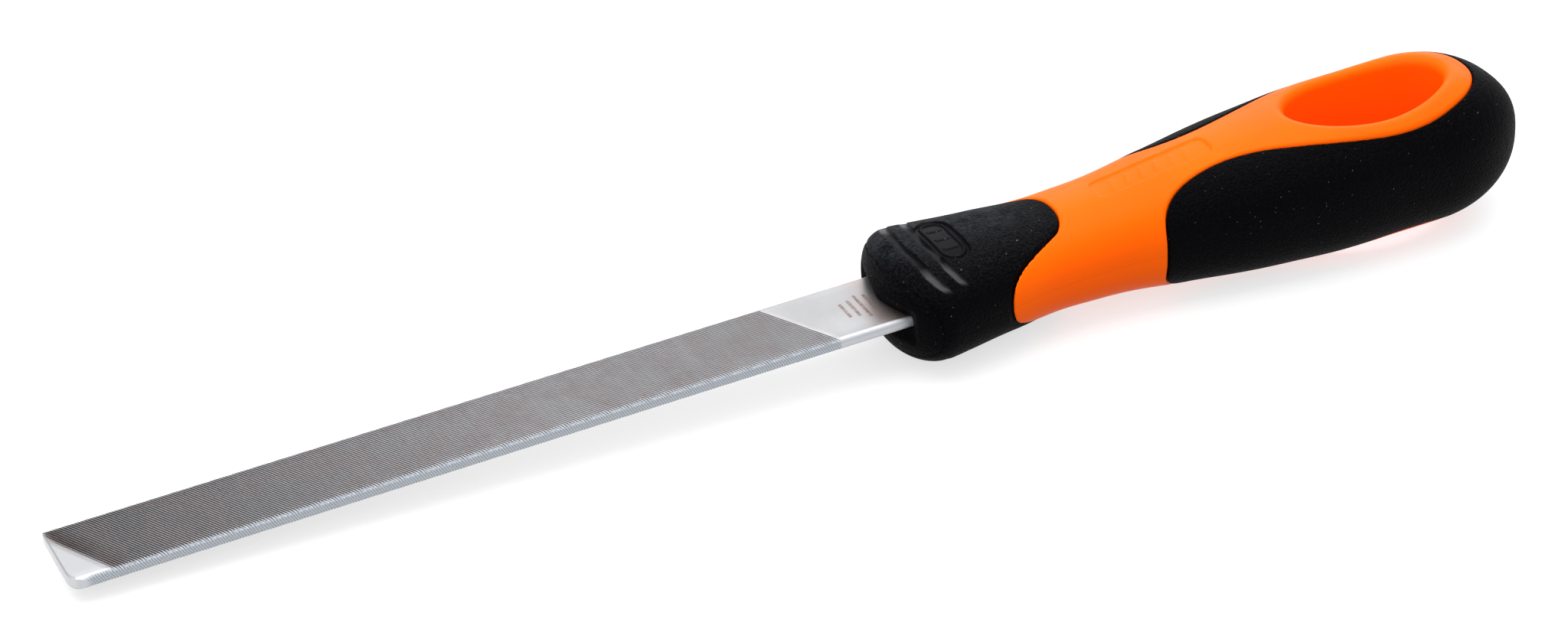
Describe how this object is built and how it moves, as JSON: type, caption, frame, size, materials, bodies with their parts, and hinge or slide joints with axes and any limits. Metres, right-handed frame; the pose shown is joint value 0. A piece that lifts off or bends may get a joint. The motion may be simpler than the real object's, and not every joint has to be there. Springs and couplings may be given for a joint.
{
  "type": "flat file",
  "caption": "Flat hand file: a single-cut steel blade with a plain tip and heel, in a contoured hard plastic handle with soft grips and a hanging hole.",
  "frame": {"origin": "centre of the whole file's box, which lies on the blade's mid-plane and on the handle's axis", "axes": "+X from the tip towards the handle's end, +Z out of the blade's upper cut face, +Y across the blade"},
  "size_m": [0.2706, 0.0314, 0.0268],
  "materials": {
    "blade_steel": "hardened steel, file-cut face, satin ground heel",
    "core_plastic": "semi-gloss moulded orange plastic",
    "grip_rubber": "black soft elastomer with a leather-like grain"
  },
  "bodies": {
    "root": {"file_blade": "blade_steel", "handle_core": "core_plastic", "front_grip": "grip_rubber", "rear_grip": "grip_rubber"}
  },
  "joints": []
}
